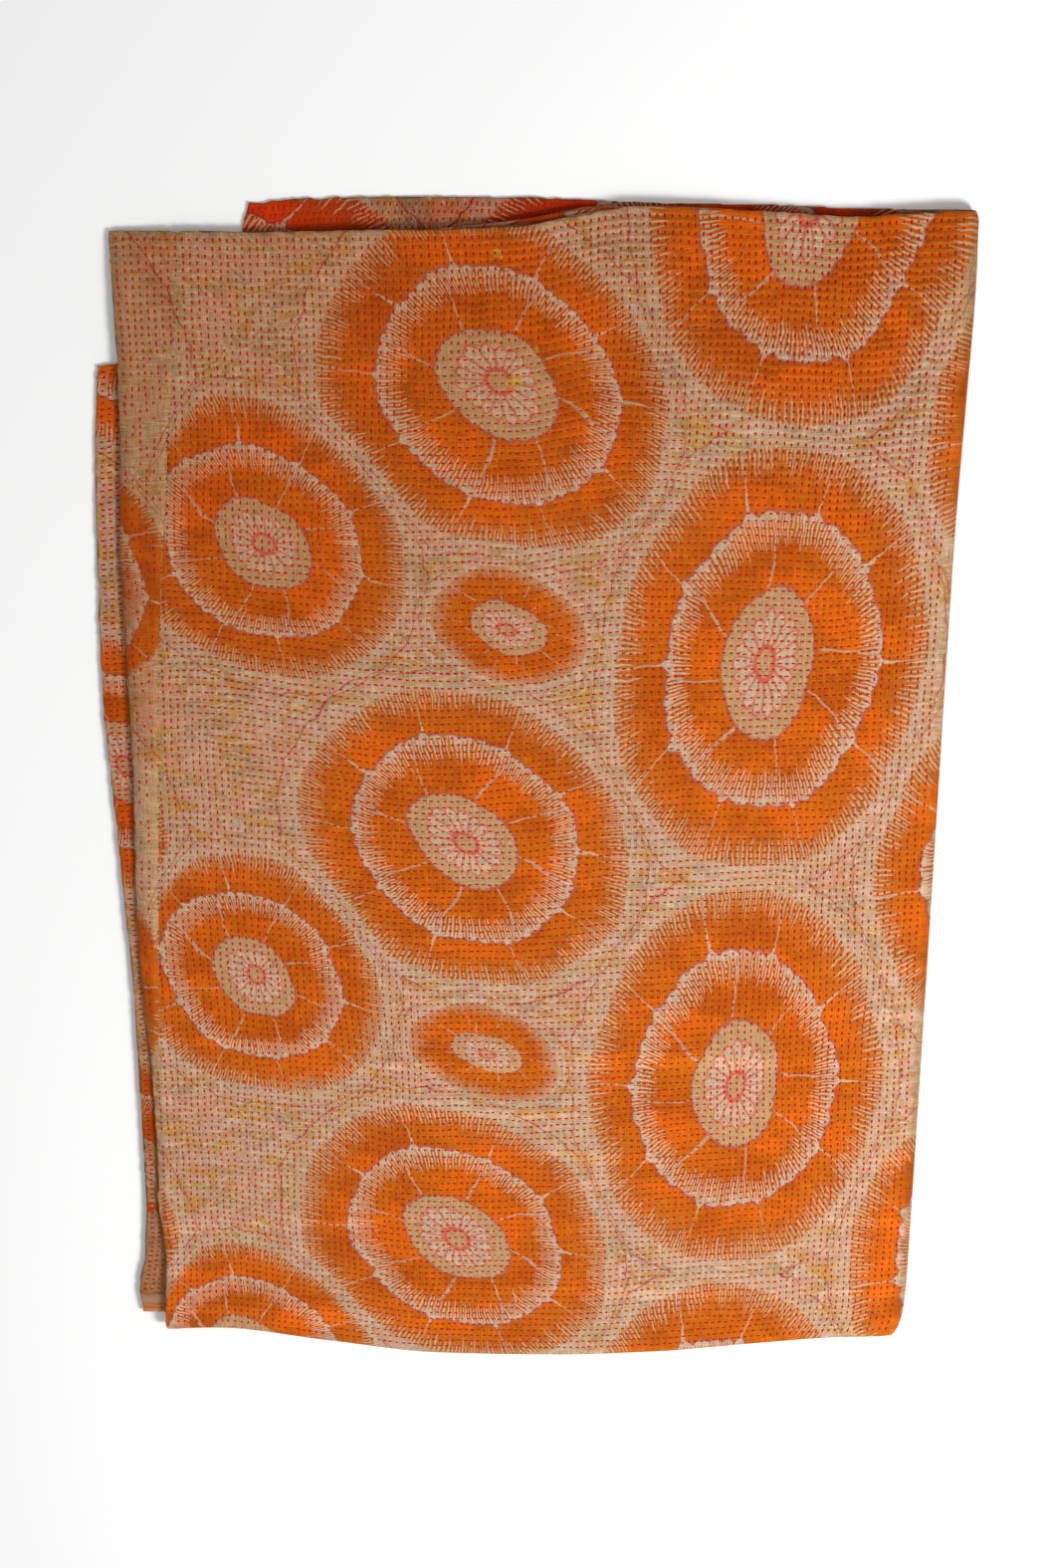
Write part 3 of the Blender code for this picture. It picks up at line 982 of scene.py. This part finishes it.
class Signal:
    """A value in a material that can be reckoned with like a number."""

    def __init__(self, paint, socket):
        self.paint, self.socket = paint, socket

    def math(self, operation, *others):
        return self.paint.math(operation, self, *others)

    def __add__(self, other):
        return self.math("ADD", other)

    def __sub__(self, other):
        return self.math("SUBTRACT", other)

    def __rsub__(self, other):
        return self.paint.math("SUBTRACT", other, self)

    def __mul__(self, other):
        return self.math("MULTIPLY", other)

    def __truediv__(self, other):
        return self.math("DIVIDE", other)

    def __abs__(self):
        return self.math("ABSOLUTE")

    def rise(self, low, high):
        """0 below low, 1 above high, smooth between. It falls where low is above high."""
        values = {"Value": self, "From Min": low, "From Max": high}
        return self.paint.add("ShaderNodeMapRange", values, "Result", interpolation_type="SMOOTHSTEP")

    def noise(self, scale, detail=2.0, rough=0.55, twist=0.0, output="Fac"):
        values = {"Vector": self, "Scale": scale, "Detail": detail, "Roughness": rough, "Distortion": twist}
        return self.paint.add("ShaderNodeTexNoise", values, output)

    def chance(self, seed):
        """A random value from 0 to 1 for each whole number."""
        values = {"Vector": self.paint.join(self, seed)}
        return self.paint.add("ShaderNodeTexWhiteNoise", values, "Value", noise_dimensions="2D")

    def wave(self, pitch, operation="SINE"):
        """A wave with one crest at every pitch."""
        return (self * (WHOLE_TURN / pitch)).math(operation)

    def far_from(self, x, y):
        return self.paint.vector("DISTANCE", self, (x, y, 0.0))

    def moved(self, x, y):
        return self.paint.vector("ADD", self, (x, y, 0.0))

    def stretched(self, x, y):
        return self.paint.vector("MULTIPLY", self, (x, y, 1.0))


class Paint:
    """One material's nodes, written as sums."""

    def __init__(self, name):
        self.material = bpy.data.materials.new(name)
        self.material.use_nodes = True
        self.tree = self.material.node_tree

    def fill(self, node, values):
        """Set a node's inputs, by name or number, to numbers, colours or signals."""
        for key, value in values.items():
            if isinstance(value, Signal):
                self.tree.links.new(value.socket, node.inputs[key])
            else:
                node.inputs[key].default_value = value

    def add(self, kind, values, output=0, **settings):
        """One output of a new node."""
        node = self.tree.nodes.new(kind)
        for name, value in settings.items():
            setattr(node, name, value)
        self.fill(node, values)
        return Signal(self, node.outputs[output])

    def math(self, operation, *values):
        return self.add("ShaderNodeMath", dict(enumerate(values)), operation=operation)

    def vector(self, operation, *values):
        output = "Value" if operation in ("LENGTH", "DISTANCE") else "Vector"
        return self.add("ShaderNodeVectorMath", dict(enumerate(values)), output, operation=operation)

    def join(self, x, y, z=0.0):
        return self.add("ShaderNodeCombineXYZ", {0: x, 1: y, 2: z})

    def parts(self, vector):
        node = self.add("ShaderNodeSeparateXYZ", {0: vector}).socket.node
        return [Signal(self, output) for output in node.outputs]

    def mix(self, share, first, second, blend="MIX"):
        """first where share is 0, second where it is 1, for colours."""
        values = {"Factor": share, 6: first, 7: second}
        return self.add("ShaderNodeMix", values, 2, data_type="RGBA", blend_type=blend)

    def either(self, share, first, second):
        """The same for vectors."""
        values = {"Factor": share, 4: first, 5: second}
        return self.add("ShaderNodeMix", values, 1, data_type="VECTOR", clamp_factor=False)

    def layers(self, colour, *layers):
        """A colour with others over it, each by its share, the last on top."""
        for share, over in layers:
            colour = self.mix(share, colour, over)
        return colour

    def attribute(self, name, output="Vector"):
        return self.add("ShaderNodeAttribute", {}, output, attribute_name=name)

    def surface(self, colour, roughness, specular, **others):
        """Set the shader's inputs; an input's name has _ for a space."""
        values = {"Base Color": colour, "Roughness": roughness, "Specular IOR Level": specular}
        values.update({name.replace("_", " "): value for name, value in others.items()})
        self.fill(self.tree.nodes["Principled BSDF"], values)
        return self.material

    def bump(self, height, strength, distance):
        values = {"Height": height, "Strength": strength, "Distance": distance}
        return self.add("ShaderNodeBump", values)


def nearest_flower(paint, place):
    """The nearest flower's plane, the distance in it in ring sizes and its number.

    The last value is the gap by which the next flower is further away.
    """
    for across, along, reach, to_x, to_y in PUSHES:
        away = place.far_from(across, along) / reach
        share = (away * away * -1.0).math("EXPONENT")
        place = paint.vector("MULTIPLY_ADD", (-to_x, -to_y, 0.0), paint.join(share, share), place)
    x, y, _ = paint.parts(place)
    leaned = paint.join(x - y * LEAN - y * y * BOW, y)
    half = (REPEAT[0] / 2, REPEAT[1] / 2, 1.0)
    own, best, number, second = None, None, None, 9.0
    for index, (across, along, long, short, tilt, small) in enumerate(FLOWERS):
        away = paint.vector("SUBTRACT", leaned, (across, along, 0.0))
        away = paint.vector("WRAP", away, half, tuple(-value for value in half))
        values = {"Vector": away, "Angle": -math.radians(tilt)}
        turned = paint.add("ShaderNodeVectorRotate", values, rotation_type="Z_AXIS")
        plane = paint.vector("DIVIDE", turned, (long, short, 1.0))
        distance = paint.vector("LENGTH", plane)
        if small:
            distance = distance + distance.math("GREATER_THAN", 0.60) * SMALL_SKIPS
        if own is None:
            own, best, number = plane, distance, paint.math("ADD", 0.0, 0.0)
            continue
        nearer = distance.math("LESS_THAN", best)
        own = paint.either(nearer, own, plane)
        number = number + nearer * (index - number)
        second = paint.math("MINIMUM", second, best.math("MAXIMUM", distance))
        best = best.math("MINIMUM", distance)
    return own, best, number, second.math("MINIMUM", GAP_MOST) - best


def comb(turn, count):
    """Even teeth round a flower: each one's number, and 0 on its middle to 1 between."""
    teeth = turn * count
    return teeth.math("FLOOR"), abs(teeth.math("FRACT") - 0.5) * 2.0


def arches(turn, count):
    """Even arches round a flower, 1 high."""
    _, beside = comb(turn, count)
    return (1.0 - beside * beside).math("SQRT")


def band(value, middle_value, half_width, soft):
    """1 on a line, 0 away from it."""
    return abs(value - middle_value).rise(half_width + soft, half_width)


def hatch(turn, count, ring, start, reach, seed):
    """Pale strokes that begin about start and grow together over reach."""
    number, beside = comb(turn, count)
    part = (ring - start - number.chance(seed) * reach * 0.35) / reach
    part = part.math("MAXIMUM", 0.0)
    wide = part.math("SQRT") * 0.62 + part.rise(0.72, 1.10) * 0.6
    return (wide - beside).rise(-0.16, 0.20) * part.rise(0.0, 0.25)


def ground_colour(paint, place, ring, gap, puff):
    """The cloth between the flowers: mottled, with pale swirls and thin outlines."""
    lying = place.stretched(0.62, 1.25)
    fleck = place.noise(170.0, 2.0, 0.7) - 0.5
    cloud = lying.noise(44.0, 2.0, 0.6) + fleck * 0.35
    shade = lying.moved(3.0, 1.0).noise(40.0) + fleck * 0.4
    rosy = lying.moved(7.0, 5.0).noise(26.0, 1.0) + fleck * 0.3
    swirl = (lying.noise(22.0, 1.0, twist=1.3) * 16.0).math("PINGPONG", 1.0)
    dashes = place.stretched(260.0, 560.0).noise(1.0, 1.0) - 0.5
    lighter = (swirl + dashes * 1.7 + puff * 0.3).rise(0.62, 1.10)
    wriggle = gap + (place.noise(48.0) - 0.5) * 0.13
    outline = band(wriggle, 0.040, 0.002, 0.009) * (place.noise(60.0, 1.0) + 0.30)
    return paint.layers(
        GROUND_TAN,
        (cloud.rise(0.45, 0.54), GROUND_PINK),
        (shade.rise(0.50, 0.60) * 0.7, GROUND_GREY),
        (rosy.rise(0.55, 0.66) * 0.8, GROUND_ROSE),
        (lighter * 0.78, PALE),
        (ring.rise(1.60, 1.42) * (dashes + 0.85) * 0.5, PALE),
        (outline, PINK_LINE),
    )


def print_colour(paint, place, puff):
    """The printed cloth's colour with its flowers, and that of its ground alone."""
    shaken = place
    for scale, reach in SHAKES:
        shift = paint.vector("SUBTRACT", place.noise(scale, 1.0, output="Color"), (0.5, 0.5, 0.5))
        shaken = paint.vector("MULTIPLY_ADD", shift, (reach, reach, 0.0), shaken)
    own, distance, number, gap = nearest_flower(paint, shaken)
    own_x, own_y, _ = paint.parts(own)
    round_it = paint.vector("ADD", paint.vector("NORMALIZE", own), paint.join(number, 3.0))
    wobble = round_it.noise(1.7)
    turn = own_y.math("ARCTAN2", own_x) / WHOLE_TURN + 0.5
    uneven = turn + wobble * 0.03 + (place.noise(70.0, 1.0) - 0.5) * 0.0022
    ring = distance * (1.05 - wobble * 0.10)
    outer = ring + gap.rise(0.30, 0.0) * 0.32
    inner = paint.vector("LENGTH", paint.join(own_x * 0.91, own_y * 1.12))
    ground = ground_colour(paint, place, ring, gap, puff)
    flower = dyed_orange(paint, place, uneven, outer, number, ground)
    flower = add_ring(paint, flower, ring, outer, turn, uneven, wobble, number)
    flower = add_rays(paint, flower, place, ring, turn, wobble, number)
    return add_core(paint, flower, inner, uneven, number), ground


def dyed_orange(paint, place, uneven, outer, number, ground):
    """A flower's uneven orange and its ragged edge."""
    lying = place.stretched(0.85, 1.15)
    dye = lying.noise(22.0, 5.0, 0.62)
    bright = lying.moved(2.0, 8.0).noise(15.0, 4.0, 0.58)
    edge_share = hatch(uneven, EDGE_STROKES, outer, 1.16, 0.34, number) * 0.92
    edge_share = edge_share.math("MAXIMUM", outer.rise(1.42, 1.53))
    pale = paint.mix(0.25, PALE, GROUND_TAN)
    return paint.layers(
        ORANGE_DEEP,
        (dye.rise(0.38, 0.58), ORANGE),
        (bright.rise(0.50, 0.60) * 0.9, ORANGE_BRIGHT),
        (outer.rise(1.05, 1.40) * 0.5, ORANGE_DULL),
        (edge_share, paint.mix(outer.rise(1.34, 1.50), pale, ground)),
    )


def add_ring(paint, flower, ring, outer, turn, uneven, wobble, number):
    """The scalloped ring with its strokes inwards, and its spikes."""
    upright = number.math("GREATER_THAN", UPRIGHT_FROM)
    scallops = upright * (UPRIGHT_SCALLOPS - RING_SCALLOPS) + RING_SCALLOPS
    tooth, beside = comb(turn + wobble * 0.04 + 0.03 - upright * 0.05, SPIKES)
    rim = arches(uneven, scallops) * 0.036 + beside.rise(0.22, 0.0) * 0.035 + 0.960
    strokes = hatch(uneven, RING_STROKES, ring, 0.70, 0.24, number + 9.0)
    reach = tooth.chance(number + 4.0) * 0.26 + 0.98
    wide = ((reach - ring) * 0.24).math("MAXIMUM", 0.008)
    spike = (beside * ring).rise(wide + 0.020, wide)
    spike = spike * ring.rise(rim - 0.01, rim) * outer.rise(1.48, 1.40)
    return paint.layers(
        flower,
        (strokes * ring.rise(rim + 0.007, rim - 0.007) * 0.92, PALE),
        (band(ring, rim, 0.003, 0.014) * 0.75, PINK_LINE),
        (spike * 0.8, paint.mix(wide.rise(0.010, 0.006) * 0.5, PALE, PINK_LINE)),
    )


def add_rays(paint, flower, place, ring, turn, wobble, number):
    """Thin rays from the core to the ring."""
    bent = turn + (ring - 0.7) * 0.05 + (number.chance(2.0) - 0.5) * 0.08
    _, beside = comb(bent + (wobble - 0.5) * 0.08, RAYS)
    ray = band(beside * ring, 0.0, 0.012, 0.022) * ring.rise(0.44, 0.47) * ring.rise(1.0, 0.96)
    return paint.mix(ray * 0.9, flower, paint.mix(place.noise(90.0) * 0.7, PALE, PINK_LINE))


def add_core(paint, flower, inner, uneven, number):
    """The core: a tan oval, a daisy and its eye."""
    rim = arches(uneven, CORE_SCALLOPS) * 0.024 + (CORE - 0.02)
    tooth, beside = comb(uneven, PETALS)
    tip = PETAL - beside * beside * 0.06 - tooth.chance(number) * 0.025
    petal = inner.rise(tip + 0.008, tip - 0.008)
    between = ((1.0 - beside) * inner).rise(0.085, 0.020) * petal
    outline = band(inner, tip, 0.003, 0.015).math("MAXIMUM", between)
    return paint.layers(
        flower,
        (inner.rise(rim + 0.008, rim - 0.008), CORE_TAN),
        (petal * 0.75, PALE),
        (outline * 0.75, ROSE_LINE),
        (inner.rise(EYE + 0.01, EYE - 0.01) * 0.9, CORE_TAN),
        (band(inner, rim, 0.004, 0.014) * 0.7, PINK_LINE),
        (band(inner, EYE, 0.010, 0.018) * 0.8, ROSE_LINE),
    )


def strip_print(paint, place, strip):
    """The place whose print shows, and 1 where the joined strip has its ground alone."""
    shift, beyond = (0.0, 0.0, 0.0), 1.0
    ragged = (place.noise(320.0, 1.0) - 0.5) * 0.016
    for x, y, reach, to_x, to_y in STRIP_FLOWERS:
        away = place.far_from(x, y)
        shift = paint.either(strip * away.math("LESS_THAN", reach), shift, (to_x, to_y, 0.0))
        beyond = (away + ragged).rise(reach - 0.010, reach) * beyond
    return paint.vector("ADD", place, shift), strip * beyond


def stained_and_shaded_colour(paint, colour, flat, strip, seam):
    """The print's colour with painted shade towards the top left, the back's redder cloth with painted
    shade of the layers above, the strip's tint with a painted highlight on its band, stains, and painted
    shade along the long fold.
    """
    u, v, back = paint.parts(flat)
    # Painted shade: the print darker and browner towards the top left, where less light falls.
    toward_light = u * 0.45 - v * 0.7 + 0.22 + (paint.join(u, v).noise(6.0) - 0.5) * 0.4
    colour = paint.mix(toward_light.rise(0.30, -0.30), colour, SHADE_TOP_LEFT, "MULTIPLY")
    # The strip's band without stitches is painted lighter: a painted highlight along the seam's fold.
    unsewn_highlight = strip * seam.rise(-PLAIN_BAND - 0.003, -PLAIN_BAND + 0.002) * v.rise(0.50, 0.40)
    colour = paint.mix(strip, colour, paint.mix(unsewn_highlight, STRIP, BAND_HIGHLIGHT), "MULTIPLY")
    # The back: a redder cloth, with painted shade of the layers above it; the third layer's strip gets a
    # share of the same painted shade.
    squared = paint.mix(1.0, colour, colour, "MULTIPLY")
    deeper = paint.mix(1.0, squared, BACK_CLOTH_AND_SHADE, "MULTIPLY")
    colour = paint.mix(back * (flat.noise(9.0) * 0.6 + 0.6), colour, deeper)
    for x, y, size, strength in STAINS:
        ragged = flat.far_from(x, y) / size + (flat.noise(150.0) - 0.5) * 1.4
        colour = paint.mix(ragged.rise(1.0, 0.3) * strength, colour, STAIN)
    # Painted shade along the long fold, where the cloth turns away from the light.
    from_fold = abs(u - FOLD_SHADE_AT) + (flat.noise(45.0) - 0.5) * 0.006
    return paint.mix(from_fold.rise(FOLD_SHADE_WIDE, 0.0), colour, FOLD_SHADE, "MULTIPLY")


def cotton_print():
    paint = Paint("printed_cotton")
    flat = paint.attribute("flat_cloth")
    u, v, _ = paint.parts(flat)
    place = paint.join(u, v)
    seam = paint.attribute("seam", "Fac")
    strip = seam.rise(0.0004, -0.0004)
    i, j, level = paint.parts(paint.attribute("stitch_rows"))
    on_column, on_row = i.wave(1.0, "COSINE"), j.wave(1.0, "COSINE")
    printed, ground_alone = strip_print(paint, place, strip)
    flowers, ground = print_colour(paint, printed, 0.5 - (on_column + on_row) * 0.25)
    colour = paint.mix(ground_alone, flowers, ground)
    colour = stained_and_shaded_colour(paint, colour, flat, strip, seam)

    # painted highlights in soft bands, brighter towards the bottom, and the slubs of the weave along both
    # threads
    highlight_streak = paint.join(u * 3.0, v * 38.0, 2.0).noise(1.0, 1.0)
    lighter = highlight_streak.rise(0.56, 0.70) * v.rise(0.1, -0.25) * 0.18
    along = paint.join(u * 950.0, v * 60.0).noise(1.0, 1.0) - 0.5
    across = paint.join(u * 60.0, v * 950.0, 5.0).noise(1.0, 1.0) - 0.5
    tone = (along + across) * 0.95 + (place.noise(700.0, 1.0) - 0.5) * 0.75 + lighter + 1.0
    colour = paint.mix(1.0, colour, paint.join(tone, tone, tone), "MULTIPLY")

    # the plain weave and the small crumples between stitches
    weave = u.wave(YARN) * v.wave(YARN)
    beside = on_column * (on_row * 0.4 + 0.6)
    dimple = beside * (level * 0.7 + 0.3) * (flat.noise(30.0) + 0.5) * (-DIMPLE / BUMP)
    height = weave * 0.18 + flat.noise(240.0, 3.0, 0.6) * 0.9 + (along + across) * 0.5 + dimple
    return paint.surface(
        colour, flat.noise(60.0) * 0.16 + 0.82, 0.08,
        Sheen_Weight=0.03, Sheen_Roughness=0.5, Normal=paint.bump(height, 0.7, BUMP),
    )


def thread(name, colour, darker=0.6):
    """Sewing thread: its twist shows as fine slanted bands."""
    paint = Paint(name)
    place = paint.add("ShaderNodeNewGeometry", {}, "Position")
    x, y, _ = paint.parts(place)
    twist = (x + y).wave(TWIST) * 0.5 + 0.5
    fibre = place.noise(220.0)
    shade = tuple(part * darker for part in colour[:3]) + (1.0,)
    return paint.surface(
        paint.mix(twist * 0.35 + fibre * 0.65, shade, colour), fibre * 0.2 + 0.6, 0.1,
        Sheen_Weight=0.02, Normal=paint.bump(twist, 0.4, 0.0001),
    )


# ---- stage, light and camera ----
FLOOR_DROP, FLOOR_REACH = 0.0004, 4.0
CAMERA_TILT, CAMERA_AWAY = math.radians(20), 2.08
LOOK_AT = (0.0, 0.050, 0.0115)
LENS, SENSOR = 50.0, 36.0
LAMP_AT, LAMP_SIZE, LAMP_WATTS = (1.9, -0.9, 1.9), 0.9, 80.0
WORLD_LIGHT = 0.50


def make_stage(collection):
    corners = ((-1, -1), (1, -1), (1, 1), (-1, 1))
    points = [(x * FLOOR_REACH, y * FLOOR_REACH, -FLOOR_DROP) for x, y in corners]
    paper = Paint("floor_paper").surface(FLOOR_WHITE, 0.95, 0.5)
    floor = add_piece(collection, "floor", points, [(0, 1, 2, 3)], paper)


def make_light(collection):
    world = bpy.data.worlds.new("studio")
    world.use_nodes = True
    background = world.node_tree.nodes["Background"]
    background.inputs["Color"].default_value = (1.0, 1.0, 1.0, 1.0)
    background.inputs["Strength"].default_value = WORLD_LIGHT
    bpy.context.scene.world = world
    data = bpy.data.lights.new("key", "AREA")
    data.size, data.energy = LAMP_SIZE, LAMP_WATTS
    lamp = bpy.data.objects.new("key", data)
    lamp.location = LAMP_AT
    lamp.rotation_euler = lamp.location.to_track_quat("Z", "Y").to_euler()
    collection.objects.link(lamp)


def make_camera(collection):
    data = bpy.data.cameras.new("camera")
    data.lens, data.sensor_width = LENS, SENSOR
    camera = bpy.data.objects.new("camera", data)
    x, y, z = LOOK_AT
    back, up = CAMERA_AWAY * math.sin(CAMERA_TILT), CAMERA_AWAY * math.cos(CAMERA_TILT)
    camera.location = (x, y + back, z + up)
    camera.rotation_euler = (-CAMERA_TILT, 0.0, 0.0)
    collection.objects.link(camera)
    bpy.context.scene.camera = camera


def main():
    collection = bpy.data.collections.new("kantha quilt")
    bpy.context.scene.collection.children.link(collection)
    make_camera(collection)
    make_light(collection)
    make_stage(collection)
    bpy.context.scene.view_settings.view_transform = "Standard"

    cloth = make_cloth(collection)
    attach(cloth, "root")
    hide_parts("quilt")

    red, dark = thread("red_thread", RED_THREAD, 0.8), thread("dark_thread", DARK_THREAD)
    ochre, white = thread("ochre_thread", OCHRE_THREAD, 0.75), thread("lint_white", LINT_WHITE, 0.85)
    lower, upper = top_stitches()
    for name, parts, material in (
        ("stitches_lower", [lower], red),
        ("stitches_upper", [upper], red),
        ("seam_stitches", [seam_stitches()], dark),
        ("stitches_strips", strip_stitches(), red),
        ("thread_end", [lying_thread(LOOSE_END, LOOSE_THREAD, 160)], ochre),
        ("lint", [lying_thread(LINT, LINT_THREAD, 16)], white),
    ):
        piece = make_threads(collection, name, parts, material)
        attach(piece, "root")


main()
